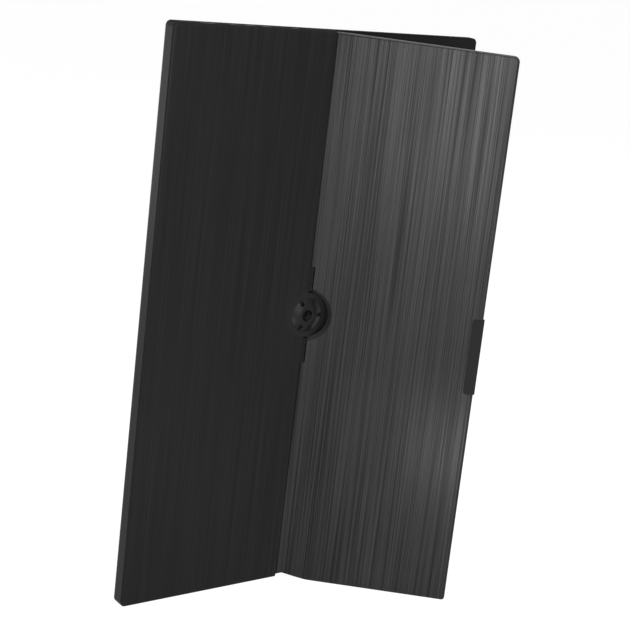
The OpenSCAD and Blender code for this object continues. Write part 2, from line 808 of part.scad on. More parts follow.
// One push button of length l at x, its flange inside the end wall
module push_button(x, l) {
  translate([x, button_y, 0]) {
    translate([0, 0, flange_z1 - eps]) linear_extrude(button_top - flange_z1 + eps)
      slot_outline(l, button_w);
    translate([-l / 2 - button_flange, -button_w / 2, flange_z0])
      cube([l + 2 * button_flange, button_w, flange_z1 - flange_z0]);
    translate([-1.2, -0.7, nub_z]) cube([2.4, 1.4, flange_z0 - nub_z + eps]);
  }
}

module power_button() {
  color(dark) push_button(button_rows[0][0], button_rows[0][1]);
}

module menu_button() {
  color(dark) push_button(button_rows[1][0], button_rows[1][1]);
}

module up_button() {
  color(dark) push_button(button_rows[2][0], button_rows[2][1]);
}

module down_button() {
  color(dark) push_button(button_rows[3][0], button_rows[3][1]);
}

module hub_ring() {
  color(shell_grey) difference() {
    union() {
      disc(0, hub_z, y_back - eps, y_ring_seat, cone_r);
      cone(0, hub_z, y_ring_top, y_back, cone_top_r, cone_r);
    }
    disc(0, hub_z, y_ring_top - eps, y_insert_top + eps, mouth_r);
    disc(0, hub_z, y_insert_top, y_ring_seat + eps, insert_r + fit_gap / 2);
    for (a = [0, 120, 240]) translate([0, 0, hub_z]) rotate([0, -a, 0])
      block(notch_r, cone_r + 1, y_ring_top - eps, y_ring_seat - notch_floor,
        -notch_w / 2, notch_w / 2);
  }
}

module tripod_insert() {
  color([0.72, 0.6, 0.35]) difference() {
    union() {
      disc(0, hub_z, y_insert_top, y_flange + eps, insert_r);
      disc(0, hub_z, y_flange, y_backing, insert_flange_r);
    }
    disc(0, hub_z, y_insert_top - eps, y_backing + eps, thread_r);
  }
}

module hub_backing_plate() {
  color(steel) difference() {
    disc(0, hub_z, y_backing, y_floor_in, backing_r);
    for (a = hub_screw_angles)
      translate([hub_screw_circle * cos(a), 0, hub_screw_circle * sin(a)])
        countersink(hub_z, y_backing, y_floor_in);
  }
}

// Hole for a flush screw along Y, its wide end at y1
module countersink(z, y0, y1) {
  disc(0, z, y0 - eps, y1 + eps, screw_hole_r);
  disc(0, z, y1 - screw_head_t / 2 - fit_gap, y1 + eps, screw_head_r + fit_gap / 2);
}

// A flush screw along Y, its flat head at y
module flush_screw(x, z, y, l) {
  disc(x, z, y - screw_head_t / 2, y, screw_head_r);
  disc(x, z, y - l, y - screw_head_t / 2 + eps, screw_r);
}

module hub_screws() {
  color(steel) for (a = hub_screw_angles) flush_screw(hub_screw_circle * cos(a),
    hub_z + hub_screw_circle * sin(a), y_floor_in, hub_screw_l);
}

// A knuckle along Z from z0 to z1 on the hinge axis
module knuckle(z0, z1, r) {
  translate([hinge_x, hinge_y, z0]) cylinder(r = r, h = z1 - z0);
}

module body_leaf() {
  color(steel) difference() {
    union() {
      knuckle(body_k0, body_k1, body_knuckle_r);
      block(wall_x - wall - 2, hinge_x, body_leaf_y0, body_leaf_y1, body_k0, body_k1);
      block(-body_leaf_l, wall_x - wall - 0.2, body_leaf_y0, body_leaf_y1,
        body_leaf_z0, body_leaf_z1);
    }
    knuckle(body_k0 - eps, body_k1 + eps, pin_r);
    for (x = leaf_screw_xs)
      disc(x, knuckle_mid, body_leaf_y0 - eps, body_leaf_y1 + eps, screw_hole_r);
  }
}

module upper_hinge_body_leaf() {
  at_hinge(1) body_leaf();
}

module lower_hinge_body_leaf() {
  at_hinge(-1) body_leaf();
}

module hinge_pin() {
  color(steel) knuckle(flap_k0, flap_k1, pin_r);
}

module upper_hinge_pin() {
  at_hinge(1) hinge_pin();
}

module lower_hinge_pin() {
  at_hinge(-1) hinge_pin();
}

module friction_washers() {
  color([0.75, 0.62, 0.3]) for (s = [-1, 1]) at_hinge(s)
    for (z = [body_k0 - washer_gap - washer_t, body_k1 + washer_gap]) difference() {
      knuckle(z, z + washer_t, body_knuckle_r);
      knuckle(z - eps, z + washer_t + eps, pin_r + 0.02);
    }
}

module body_leaf_screws() {
  color(steel) for (s = [-1, 1], x = leaf_screw_xs) at_hinge(s)
    low_screw(x, knuckle_mid, body_leaf_y1, leaf_screw_l);
}

// Outline of the flap's slanted heel, removed at its lower hinge corner
module heel_outline() {
  polygon([
    [flap_edge_x - far, -far], [flap_edge_x - far, heel_h], [flap_edge_x + heel_x0, heel_h],
    [flap_edge_x + heel_x1, 0], [flap_edge_x + heel_x1, -far]
  ]);
}

// The flap's outer form before it is hollowed, its hinge edge rounded by short flats
module flap_form() {
  difference() {
    rimmed_plate(hinge_x - far, half_w, 0, flap_z1, y_back, y_flap_in,
      [flap_top_r, flap_bottom_r, flap_top_r, flap_top_r], edge_r);
    translate([0, 0, -1]) linear_extrude(flap_z1 + 2) hinge_edge_waste();
  }
}

// What is cut away beyond the round hinge edge, in X and Y
module hinge_edge_waste() {
  flats = 12;
  polygon(concat(
    [[hinge_x - far - 1, y_back - 1], [hinge_x, y_back - 1]],
    [for (i = [0 : flats]) let (a = 90 - 180 * i / flats)
      [hinge_x - hinge_r * cos(a), hinge_y - hinge_r * sin(a)]],
    [[hinge_x, y_flap_in + 1], [hinge_x - far - 1, y_flap_in + 1]]
  ));
}

module flap_cover() {
  color(flap_grey) on_flap() difference() {
    flap_form();
    sheet(y_back - 1, y_flap_in + 1) heel_outline();
    disc(0, hub_z, y_back - 1, y_flap_in + 1, cutout_r);
    // Seat of the inner plate, and the space behind it
    difference() {
      block(plate_x0 - plate_gap, plate_x1 + plate_gap, y_plate, y_flap_in + 1,
        plate_z0 - plate_gap, plate_z1 + plate_gap);
      disc(0, hub_z, y_back, y_flap_in + 2, hub_wall_r);
    }
    difference() {
      block(cavity_x0, cavity_x1, y_cavity, y_plate + eps, cavity_z0, cavity_z1);
      disc(0, hub_z, y_back, y_plate + 1, hub_wall_r + flap_ledge);
      block(cavity_x1 - tab_w, cavity_x1 + 1, y_cavity - 1, y_cavity + tab_floor,
        tab_z - tab_l / 2 - tab_floor_lap, tab_z + tab_l / 2 + tab_floor_lap);
    }
    // Room for the knuckles and the leaves
    for (s = [-1, 1]) at_hinge(s) {
      block(hinge_x - far, knuckle_slot_x, y_back - 1, y_flap_in + 1, hinge_in, hinge_out);
      block(hinge_x, cavity_x0 + 2, hinge_y - 0.15, y_flap_in + 1, leaf_z0 - 0.2, hinge_out);
    }
    tab_pocket();
  }
}

// Place of the pull tab in the cover
module tab_pocket() {
  sheet(y_back - 1, y_back + tab_depth)
    round_rect(half_w - tab_w, half_w + far, tab_z - tab_l / 2, tab_z + tab_l / 2, tab_r);
  block(half_w - tab_edge_sink, half_w + far, y_back - 1, y_flap_in - tab_ledge,
    tab_z - tab_l / 2, tab_z + tab_l / 2);
}

module pull_tab() {
  g = 0.05;
  color(rubber) on_flap() {
    sheet(y_back - tab_proud, y_back + tab_depth - g) round_rect(half_w - tab_w + g,
      half_w + tab_out, tab_z - tab_l / 2 + g, tab_z + tab_l / 2 - g, tab_r - g);
    sheet(y_back + tab_depth - g - eps, y_flap_in - tab_ledge - g)
      translate([half_w - tab_edge_sink + g, tab_z - tab_l / 2 + g])
        edge_grip_outline(tab_out + tab_edge_sink - g, tab_l - 2 * g, 0.6);
  }
}

// Grip outline w by l whose outer corners are rounded by r
module edge_grip_outline(w, l, r) {
  square([w - r, l]);
  translate([0, r]) square([w, l - 2 * r]);
  for (z = [r, l - r]) translate([w - r, z]) circle(r);
}

module flap_inner_plate() {
  color(dark) on_flap() difference() {
    block(plate_x0, plate_x1, y_plate, y_flap_in, plate_z0, plate_z1);
    disc(0, hub_z, y_plate - 1, y_flap_in + 1, hub_wall_r + plate_gap);
    for (x = bumper_xs, z = bumper_zs)
      disc(x, z, y_flap_in - bumper_sink, y_flap_in + eps, bumper_r + 0.05);
    for (s = [-1, 1], x = flap_screw_xs, z = flap_screw_zs)
      translate([x, 0, 0]) countersink(hub_z + s * z, y_plate, y_flap_in);
  }
}

// Light-metal sheet glued inside the cover, cut out round the hinge leaves
module flap_stiffener() {
  g = 1;
  x_leaf = flap_edge_x + flap_leaf_l + 3;
  color(steel) on_flap() difference() {
    block(cavity_x0 + g, cavity_x1 - g - tab_w, y_cavity, y_cavity + stiffener_t,
      cavity_z0 + g, cavity_z1 - g);
    block(cavity_x0 - 1, x_leaf, y_cavity - 1, y_plate, hub_z - hinge_out - 3, hub_z + hinge_out + 3);
    for (z = [body_h * 0.17, body_h * 0.83], x = [0.3, 0.7]) sheet(y_cavity - 1, y_plate)
      translate([cavity_x0 + (cavity_x1 - cavity_x0) * x, z]) circle(15);
  }
}

module flap_leaf() {
  color(steel) difference() {
    union() {
      knuckle(flap_k0, body_k0 - washer_room, flap_knuckle_r);
      knuckle(body_k1 + washer_room, flap_k1, flap_knuckle_r);
      block(hinge_x, knuckle_slot_x, y_plate - leaf_t, y_plate, leaf_z0, body_k0 - washer_room);
      block(hinge_x, knuckle_slot_x, y_plate - leaf_t, y_plate, body_k1 + washer_room, leaf_z1);
      block(knuckle_slot_x - eps, flap_edge_x + flap_leaf_l, y_plate - leaf_t, y_plate,
        leaf_z0, leaf_z1);
    }
    knuckle(flap_k0 - eps, flap_k1 + eps, pin_r + pin_gap);
    for (x = flap_screw_xs, z = flap_screw_zs)
      disc(x, z, y_plate - leaf_t - eps, y_plate + eps, screw_hole_r);
  }
}

module upper_hinge_flap_leaf() {
  on_flap() at_hinge(1) flap_leaf();
}

module lower_hinge_flap_leaf() {
  on_flap() at_hinge(-1) flap_leaf();
}

module flap_leaf_screws() {
  color(steel) on_flap() for (s = [-1, 1], x = flap_screw_xs, z = flap_screw_zs)
    flush_screw(x, hub_z + s * z, y_flap_in, plate_t + leaf_t);
}

module flap_bumpers() {
  color(rubber) on_flap() for (x = bumper_xs, z = bumper_zs)
    disc(x, z, y_flap_in - bumper_sink, y_flap_in + flap_rest_gap - 0.05, bumper_r);
}

rear_housing();
front_bezel();
polariser_film();
lcd_cell();
diffuser_films();
light_guide();
reflector_sheet();
backlight_led_bar();
panel_tray();
panel_tapes();
driver_board();
driver_films();
panel_flex();
main_board();
scaler_chip();
board_components();
board_screws();
usb_c_shell();
usb_c_tongue();
tact_switches();
status_light_pipe();
power_button();
menu_button();
up_button();
down_button();
hub_ring();
tripod_insert();
hub_backing_plate();
hub_screws();
upper_hinge_body_leaf();
lower_hinge_body_leaf();
upper_hinge_pin();
lower_hinge_pin();
friction_washers();
body_leaf_screws();
flap_cover();
flap_inner_plate();
flap_stiffener();
upper_hinge_flap_leaf();
lower_hinge_flap_leaf();
flap_leaf_screws();
flap_bumpers();
pull_tab();
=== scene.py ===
"""Portable monitor with a stand flap, seen from behind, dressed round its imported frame."""

import json
from math import pi, radians

import bpy
from mathutils import Matrix, Vector

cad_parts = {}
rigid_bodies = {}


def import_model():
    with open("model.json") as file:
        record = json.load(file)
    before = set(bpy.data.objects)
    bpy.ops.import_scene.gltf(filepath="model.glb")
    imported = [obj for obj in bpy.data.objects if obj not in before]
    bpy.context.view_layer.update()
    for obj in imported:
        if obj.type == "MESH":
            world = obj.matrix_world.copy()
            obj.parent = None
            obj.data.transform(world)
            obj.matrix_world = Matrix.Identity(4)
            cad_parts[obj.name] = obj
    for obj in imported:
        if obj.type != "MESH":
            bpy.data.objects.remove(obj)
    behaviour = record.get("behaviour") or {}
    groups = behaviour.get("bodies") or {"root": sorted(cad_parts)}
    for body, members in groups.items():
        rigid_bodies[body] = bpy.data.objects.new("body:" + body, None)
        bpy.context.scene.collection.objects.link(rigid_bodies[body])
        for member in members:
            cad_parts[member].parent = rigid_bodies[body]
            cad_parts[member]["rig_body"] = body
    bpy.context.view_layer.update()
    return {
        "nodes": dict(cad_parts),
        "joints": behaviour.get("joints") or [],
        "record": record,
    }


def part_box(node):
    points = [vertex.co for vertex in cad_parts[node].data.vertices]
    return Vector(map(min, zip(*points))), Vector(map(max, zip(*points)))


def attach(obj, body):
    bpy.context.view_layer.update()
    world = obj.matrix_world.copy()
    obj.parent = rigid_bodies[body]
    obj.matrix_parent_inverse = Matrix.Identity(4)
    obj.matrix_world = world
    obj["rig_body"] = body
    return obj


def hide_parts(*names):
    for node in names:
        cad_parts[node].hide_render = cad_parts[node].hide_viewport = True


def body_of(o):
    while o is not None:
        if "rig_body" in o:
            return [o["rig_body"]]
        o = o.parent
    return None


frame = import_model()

MM = 0.001
nodes = frame["nodes"]


# ---------------------------------------------------------------- camera

FRAME_PX = 630
SENSOR = 36
FOCAL_PX = 1587.1
PRINCIPAL_PX = (455, 262)
EYE = (-0.56393, -0.79678, 0.45271)
EYE_TURN = (76.7697, -7.5555, -38.9246)


def place_camera():
    data = bpy.data.cameras.new("camera")
    data.sensor_width = SENSOR
    data.lens = FOCAL_PX / FRAME_PX * SENSOR
    data.shift_x = (FRAME_PX / 2 - PRINCIPAL_PX[0]) / FRAME_PX
    data.shift_y = (PRINCIPAL_PX[1] - FRAME_PX / 2) / FRAME_PX
    data.clip_start = 0.05
    data.clip_end = 30
    camera = bpy.data.objects.new("camera", data)
    camera.location = EYE
    camera.rotation_euler = [radians(a) for a in EYE_TURN]
    bpy.context.scene.collection.objects.link(camera)
    bpy.context.scene.camera = camera


# ---------------------------------------------------------------- node helpers

def feed(tree, sockets, inputs):
    """Links each input to a socket, or sets it to a value."""
    for key, value in inputs.items():
        if isinstance(value, bpy.types.NodeSocket):
            tree.links.new(value, sockets[key])
        else:
            sockets[key].default_value = value


def add_node(tree, kind, inputs=None, **settings):
    """A node with its settings made and its inputs fed."""
    made = tree.nodes.new(kind)
    for key, value in settings.items():
        setattr(made, key, value)
    feed(tree, made.inputs, inputs or {})
    return made


def maths(tree, operation, *values):
    made = add_node(tree, "ShaderNodeMath", dict(enumerate(values)), operation=operation)
    return made.outputs[0]


def remap(tree, value, low, high, to_low=0.0, to_high=1.0, smooth=False):
    ranged = add_node(tree, "ShaderNodeMapRange", {
        "Value": value, "From Min": low, "From Max": high, "To Min": to_low, "To Max": to_high})
    if smooth:
        ranged.interpolation_type = "SMOOTHSTEP"
    return ranged.outputs["Result"]


def mix_colours(tree, share, first, second):
    """The first colour where share is 0, the second where it is 1."""
    mix = add_node(tree, "ShaderNodeMix", {0: share, 6: first, 7: second}, data_type="RGBA")
    return mix.outputs[2]


def rgba(grey_or_colour):
    if isinstance(grey_or_colour, (int, float)):
        return (grey_or_colour, grey_or_colour, grey_or_colour, 1)
    return (*grey_or_colour, 1)


def object_point(tree):
    return add_node(tree, "ShaderNodeTexCoord").outputs["Object"]


def start_group(name, inputs, outputs):
    """A group whose outputs are floats: its tree, its inputs and its output node.

    An input whose default is None is a vector, any other is a float.
    """
    group = bpy.data.node_groups.new(name, "ShaderNodeTree")
    for label, default in inputs.items():
        kind = "NodeSocketVector" if default is None else "NodeSocketFloat"
        socket = group.interface.new_socket(label, in_out="INPUT", socket_type=kind)
        if default is not None:
            socket.default_value = default
    for label in outputs:
        group.interface.new_socket(label, in_out="OUTPUT", socket_type="NodeSocketFloat")
    return group, group.nodes.new("NodeGroupInput").outputs, group.nodes.new("NodeGroupOutput")


def place_group(tree, group, inputs):
    placed = tree.nodes.new("ShaderNodeGroup")
    placed.node_tree = group
    feed(tree, placed.inputs, inputs)
    return placed.outputs


# ---------------------------------------------------------------- studio

FLOOR_SIZE = 12
ROOM_LIGHT = 0.35
FLOOR_GREY = 0.82
FLOOR_GLOW = 0.8
GLOW_STRENGTH = 1.16

# Name, place, the point it faces, width, height, watts
SOFTBOXES = (
    ("front_strip", (-0.720, -0.968, 0.29), (0.08, -0.08, 0.29), 0.10, 0.5, 8.6),
    ("low_strip", (-0.043, -0.232, 0.035), (0.16, -0.12, 0.06), 0.08, 0.05, 0.16),
    ("right_bank", (0.03, -0.80, 0.44), (-0.05, 0, 0.22), 0.25, 0.8, 3.4),
    ("side_fill", (-0.75, 0.80, 0.06), (-0.113, 0, 0.06), 0.5, 0.5, 2.2),
    ("overhead", (0, -0.15, 1.3), (0, 0, 0.2), 0.7, 0.5, 12),
)


def background_ray(tree):
    """1 on the rays that should see a white room: from the camera, and in mirrors and glass."""
    path = add_node(tree, "ShaderNodeLightPath").outputs
    seen = maths(tree, "MAXIMUM", path["Is Camera Ray"], path["Is Glossy Ray"])
    return maths(tree, "MAXIMUM", seen, path["Is Transmission Ray"])


def white_room():
    """A world that is white to see and dimmer as a light."""
    world = bpy.data.worlds.new("white_room")
    world.use_nodes = True
    tree = world.node_tree
    tree.nodes.clear()
    room, white = [
        add_node(tree, "ShaderNodeBackground", {"Color": rgba(1), "Strength": strength})
        for strength in (ROOM_LIGHT, 1)]
    mix = add_node(tree, "ShaderNodeMixShader", {
        0: background_ray(tree), 1: room.outputs[0], 2: white.outputs[0]})
    add_node(tree, "ShaderNodeOutputWorld", {"Surface": mix.outputs[0]})
    bpy.context.scene.world = world


def studio_floor():
    """A pale floor that looks as white as the room."""
    bpy.ops.object.select_all(action="DESELECT")
    bpy.ops.mesh.primitive_plane_add(size=FLOOR_SIZE, location=(0, 0, 0))
    floor = bpy.context.object
    floor.name = "studio_floor"
    material = bpy.data.materials.new("pale_floor")
    material.use_nodes = True
    tree = material.node_tree
    tree.nodes.clear()
    diffuse = add_node(tree, "ShaderNodeBsdfDiffuse", {"Color": rgba(FLOOR_GREY)})
    glow = add_node(tree, "ShaderNodeEmission", {"Color": rgba(1), "Strength": GLOW_STRENGTH})
    mix = add_node(tree, "ShaderNodeMixShader", {
        0: maths(tree, "MULTIPLY", background_ray(tree), FLOOR_GLOW),
        1: diffuse.outputs[0], 2: glow.outputs[0]})
    add_node(tree, "ShaderNodeOutputMaterial", {"Surface": mix.outputs[0]})
    floor.data.materials.append(material)


def softbox(name, place, aim, width, height, power):
    data = bpy.data.lights.new(name, "AREA")
    data.shape = "RECTANGLE"
    data.size = width
    data.size_y = height
    data.energy = power
    lamp = bpy.data.objects.new(name, data)
    lamp.location = place
    direction = Vector(aim) - Vector(place)
    lamp.rotation_euler = direction.to_track_quat("-Z", "Y").to_euler()
    bpy.context.scene.collection.objects.link(lamp)


def studio():
    white_room()
    studio_floor()
    for box in SOFTBOXES:
        softbox(*box)
    bpy.context.scene.view_settings.view_transform = "Standard"


# ---------------------------------------------------------------- effects shared by the finishes

FINE_SHARE = 0.65
BROAD_SHARE = 0.2
HAIR_SHARE = 0.05
LINES_MEAN = 0.44


def brushed_lines():
    """Long lines brushed along Z: a tone about 0, and their height. Widths are in metres."""
    group, given, out = start_group(
        "brushed_lines", {"Point": None, "Fine": 1.6 * MM, "Broad": 5 * MM, "Length": 160 * MM},
        ["Tone", "Height"])
    split = add_node(group, "ShaderNodeSeparateXYZ", {0: given["Point"]}).outputs

    def lines(width, stretch, detail, seed):
        across = add_node(group, "ShaderNodeCombineXYZ", {
            0: maths(group, "DIVIDE", split["X"], width),
            1: maths(group, "DIVIDE", split["Y"], width),
            2: maths(group, "ADD", maths(group, "DIVIDE", split["Z"], stretch), seed)}).outputs[0]
        return add_node(group, "ShaderNodeTexNoise", {
            "Vector": across, "Scale": 1.0, "Detail": detail, "Roughness": 0.6}).outputs["Fac"]

    fine = lines(given["Fine"], given["Length"], 1.0, 3.1)
    broad = lines(given["Broad"], given["Length"], 1.0, 17.3)
    hair_width = maths(group, "MULTIPLY", given["Fine"], 0.6)
    hair = remap(group, lines(hair_width, given["Length"], 0.0, 41.9), 0.52, 0.72)
    mixed = maths(group, "ADD", maths(group, "MULTIPLY", fine, FINE_SHARE),
                  maths(group, "MULTIPLY", broad, BROAD_SHARE))
    mixed = maths(group, "ADD", mixed, maths(group, "MULTIPLY", hair, HAIR_SHARE))
    group.links.new(maths(group, "SUBTRACT", mixed, LINES_MEAN), out.inputs["Tone"])
    group.links.new(mixed, out.inputs["Height"])
    return group


def moulded_grain():
    """Fine spark-eroded grain: its height, and a slow cloud that varies the finish, in metres."""
    group, given, out = start_group(
        "moulded_grain", {"Point": None, "Grain": 0.4 * MM, "Cloud": 50 * MM}, ["Height", "Cloud"])
    grain = add_node(group, "ShaderNodeTexVoronoi", {
        "Vector": given["Point"], "Scale": maths(group, "DIVIDE", 1.0, given["Grain"])})
    cloud = add_node(group, "ShaderNodeTexNoise", {
        "Vector": given["Point"], "Scale": maths(group, "DIVIDE", 1.0, given["Cloud"]),
        "Detail": 4.0, "Roughness": 0.55})
    group.links.new(grain.outputs["Distance"], out.inputs["Height"])
    group.links.new(maths(group, "SUBTRACT", cloud.outputs["Fac"], 0.5), out.inputs["Cloud"])
    return group


def hand_marks():
    """Faint smears and dust specks: 0 where clean, up to 1 where marked."""
    group, given, out = start_group(
        "hand_marks", {"Point": None, "Size": 30 * MM}, ["Smears", "Dust"])
    smear = add_node(group, "ShaderNodeTexNoise", {
        "Vector": given["Point"], "Scale": maths(group, "DIVIDE", 1.0, given["Size"]),
        "Detail": 5.0, "Roughness": 0.65, "Distortion": 1.2})
    speck = add_node(group, "ShaderNodeTexVoronoi", {"Vector": given["Point"], "Scale": 260.0})
    group.links.new(remap(group, smear.outputs["Fac"], 0.52, 0.72), out.inputs["Smears"])
    group.links.new(remap(group, speck.outputs["Distance"], 0.09, 0.04), out.inputs["Dust"])
    return group


LINES = brushed_lines()
GRAIN = moulded_grain()
MARKS = hand_marks()


# ---------------------------------------------------------------- finishes

joints = {joint["name"]: joint for joint in frame["joints"]}
HINGE = Vector(joints["stand_hinge"]["pos_m"])
REST_OPEN = -radians(joints["stand_hinge"]["range_deg"][0])
BACK_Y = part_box("rear_housing")[0].y
TOP_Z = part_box("rear_housing")[1].z
HUB_Z = HINGE.z
BRUSH_FADES = 0.1 * MM
BRUSH_ENDS = 0.4 * MM
HUB_FADE = 0.2 * MM
STREAK_GAIN = 5.0
CLOUD_GAIN = 0.4
PLATFORM_R = 14.5 * MM
CUTOUT_R = 15.1 * MM
CUTOUT_CHAMFER = 2.6 * MM


def folded_point(tree):
    """The point of a flap piece as it lies folded shut: X from the hinge, Y through the flap."""
    from_hinge = add_node(tree, "ShaderNodeVectorMath", {
        0: object_point(tree), 1: (HINGE.x, HINGE.y, 0)}, operation="SUBTRACT").outputs[0]
    swung_back = add_node(tree, "ShaderNodeMapping", {
        "Vector": from_hinge, "Rotation": (0, 0, REST_OPEN)})
    return swung_back.outputs["Vector"]


def start_finish(name, roughness, specular=0.5, metallic=0.0):
    material = bpy.data.materials.new(name)
    material.use_nodes = True
    tree = material.node_tree
    shader = tree.nodes["Principled BSDF"]
    shader.inputs["Roughness"].default_value = roughness
    shader.inputs["Specular IOR Level"].default_value = specular
    shader.inputs["Metallic"].default_value = metallic
    return material, tree, shader


def tone(tree, shader, colour, amount, variation):
    """Base colour that goes darker by amount at -0.5 of variation, and lighter at 0.5."""
    dark = [max(c * (1 - amount), 0) for c in colour]
    light = [c * (1 + amount) for c in colour]
    share = maths(tree, "ADD", variation, 0.5)
    tree.links.new(mix_colours(tree, share, rgba(dark), rgba(light)), shader.inputs["Base Color"])


def relief(tree, shader, height, depth):
    bump = add_node(tree, "ShaderNodeBump", {
        "Height": height, "Distance": depth, "Strength": 1.0})
    tree.links.new(bump.outputs[0], shader.inputs["Normal"])


def brushed_plastic(name, point_of, face_y, colour, contrast, roughness, specular, depth, sheen,
                    fine, broad, hub_x, smooth_r, hub_painted_light, top_dulling=0.0):
    """Plastic brushed on the face at face_y, smooth on its edges and round the hub, dull on top.

    Within smooth_r of the hub its colour is scaled by the hub factor. This is painted light: it
    stands in for the light the smooth platform catches and lifts the shade beside the flap.
    """
    material, tree, shader = start_finish(name, roughness, specular)
    point = point_of(tree)
    split = add_node(tree, "ShaderNodeSeparateXYZ", {0: point}).outputs
    on_face = remap(tree, split["Y"], face_y + BRUSH_ENDS, face_y + BRUSH_FADES, smooth=True)
    from_hub = maths(tree, "SQRT", maths(
        tree, "ADD", maths(tree, "POWER", maths(tree, "SUBTRACT", split["X"], hub_x), 2.0),
        maths(tree, "POWER", maths(tree, "SUBTRACT", split["Z"], HUB_Z), 2.0)))
    off_hub = remap(tree, from_hub, smooth_r - HUB_FADE, smooth_r + HUB_FADE)
    on_face = maths(tree, "MULTIPLY", on_face, off_hub)
    lines = place_group(tree, LINES, {"Point": point, "Fine": fine, "Broad": broad})
    grain = place_group(tree, GRAIN, {"Point": point, "Grain": 0.25 * MM})
    marks = place_group(tree, MARKS, {"Point": point})
    streaks = maths(tree, "MULTIPLY", lines["Tone"], on_face)
    variation = maths(tree, "ADD", maths(tree, "MULTIPLY", streaks, STREAK_GAIN),
                      maths(tree, "MULTIPLY", grain["Cloud"], CLOUD_GAIN))
    # Painted light: the disc round the hub is made lighter in its base colour.
    painted_hub_light_mask = maths(tree, "SUBTRACT", 1.0, off_hub)
    variation = maths(tree, "ADD", variation, maths(
        tree, "MULTIPLY", painted_hub_light_mask, (hub_painted_light - 1) / contrast / 2))
    tone(tree, shader, colour, contrast, variation)
    rough = maths(tree, "SUBTRACT", roughness, maths(tree, "MULTIPLY", streaks, sheen))
    rough = maths(tree, "ADD", rough, maths(tree, "MULTIPLY", marks["Smears"], 0.02))
    at_top = remap(tree, split["Z"], TOP_Z - 1.2 * MM, TOP_Z - 0.4 * MM)
    dull = maths(tree, "MULTIPLY", at_top, top_dulling)
    tree.links.new(maths(tree, "ADD", rough, dull), shader.inputs["Roughness"])
    fine_grain = maths(tree, "MULTIPLY", grain["Height"], 0.15)
    height = mix_heights(tree, on_face, fine_grain, lines["Height"])
    relief(tree, shader, height, depth)
    return material


def mix_heights(tree, share, first, second):
    kept = maths(tree, "MULTIPLY", first, maths(tree, "SUBTRACT", 1.0, share))
    return maths(tree, "ADD", kept, maths(tree, "MULTIPLY", second, share))


def grained_plastic(name, colour, roughness, grain_size=0.0003, depth=0.00001, specular=0.35):
    material, tree, shader = start_finish(name, roughness, specular)
    point = object_point(tree)
    grain = place_group(tree, GRAIN, {"Point": point, "Grain": grain_size})
    marks = place_group(tree, MARKS, {"Point": point})
    tone(tree, shader, colour, 0.12, grain["Cloud"])
    rough = maths(tree, "ADD", roughness, maths(tree, "MULTIPLY", grain["Cloud"], 0.12))
    rough = maths(tree, "ADD", rough, maths(tree, "MULTIPLY", marks["Smears"], -0.04))
    tree.links.new(rough, shader.inputs["Roughness"])
    relief(tree, shader, grain["Height"], depth)
    return material


RUBBER_ROUGHNESS = 0.62


def soft_rubber(name, colour):
    material, tree, shader = start_finish(name, RUBBER_ROUGHNESS, 0.10)
    point = object_point(tree)
    grain = place_group(tree, GRAIN, {"Point": point, "Grain": 0.0005, "Cloud": 0.02})
    marks = place_group(tree, MARKS, {"Point": point, "Size": 0.012})
    dusted = maths(tree, "ADD", grain["Cloud"], maths(tree, "MULTIPLY", marks["Dust"], 0.5))
    tone(tree, shader, colour, 0.25, dusted)
    rough = maths(tree, "ADD", RUBBER_ROUGHNESS, maths(tree, "MULTIPLY", grain["Cloud"], 0.2))
    tree.links.new(rough, shader.inputs["Roughness"])
    relief(tree, shader, grain["Height"], 0.00002)
    return material


TOOL_PITCH = 0.4 * MM
TOOL_DEPTH = 0.012 * MM


def turned_metal(name, colour, roughness):
    """Metal with fine tool marks and slight stains."""
    material, tree, shader = start_finish(name, roughness, 0.5, 1.0)
    point = object_point(tree)
    wave = add_node(tree, "ShaderNodeTexNoise", {
        "Vector": point, "Scale": 1 / TOOL_PITCH, "Detail": 2.0, "Roughness": 0.5}).outputs["Fac"]
    grain = place_group(tree, GRAIN, {"Point": point, "Cloud": 0.004})
    tone(tree, shader, colour, 0.15, grain["Cloud"])
    rough = maths(tree, "ADD", roughness, maths(tree, "MULTIPLY", grain["Cloud"], 0.25))
    tree.links.new(rough, shader.inputs["Roughness"])
    relief(tree, shader, wave, TOOL_DEPTH)
    return material


def rolled_sheet(name, colour, roughness):
    """Rolled sheet metal, its faint lines along Z."""
    material, tree, shader = start_finish(name, roughness, 0.5, 1.0)
    point = object_point(tree)
    lines = place_group(tree, LINES, {
        "Point": point, "Fine": 0.3 * MM, "Broad": 2 * MM, "Length": 50 * MM})
    tone(tree, shader, colour, 0.2, lines["Tone"])
    rough = maths(tree, "ADD", roughness, maths(tree, "MULTIPLY", lines["Tone"], 0.3))
    tree.links.new(rough, shader.inputs["Roughness"])
    relief(tree, shader, lines["Height"], 0.000006)
    return material


FILM_ROUGHNESS = 0.28


def screen_film(name, colour):
    """Anti-glare film: near black, with a very fine sparkle."""
    material, tree, shader = start_finish(name, FILM_ROUGHNESS, 0.16)
    point = object_point(tree)
    grain = place_group(tree, GRAIN, {"Point": point, "Grain": 0.00012, "Cloud": 0.08})
    marks = place_group(tree, MARKS, {"Point": point, "Size": 0.05})
    tone(tree, shader, colour, 0.1, grain["Cloud"])
    rough = maths(tree, "ADD", FILM_ROUGHNESS, maths(tree, "MULTIPLY", marks["Smears"], 0.03))
    tree.links.new(rough, shader.inputs["Roughness"])
    relief(tree, shader, grain["Height"], 0.000004)
    return material


def clear_plastic(name, colour, roughness):
    material, tree, shader = start_finish(name, roughness, 0.5)
    grain = place_group(tree, GRAIN, {"Point": object_point(tree), "Cloud": 0.03})
    tone(tree, shader, colour, 0.06, grain["Cloud"])
    rough = maths(tree, "ADD", roughness, maths(tree, "MULTIPLY", grain["Cloud"], 0.1))
    tree.links.new(rough, shader.inputs["Roughness"])
    shader.inputs["Transmission Weight"].default_value = 0.7
    return material


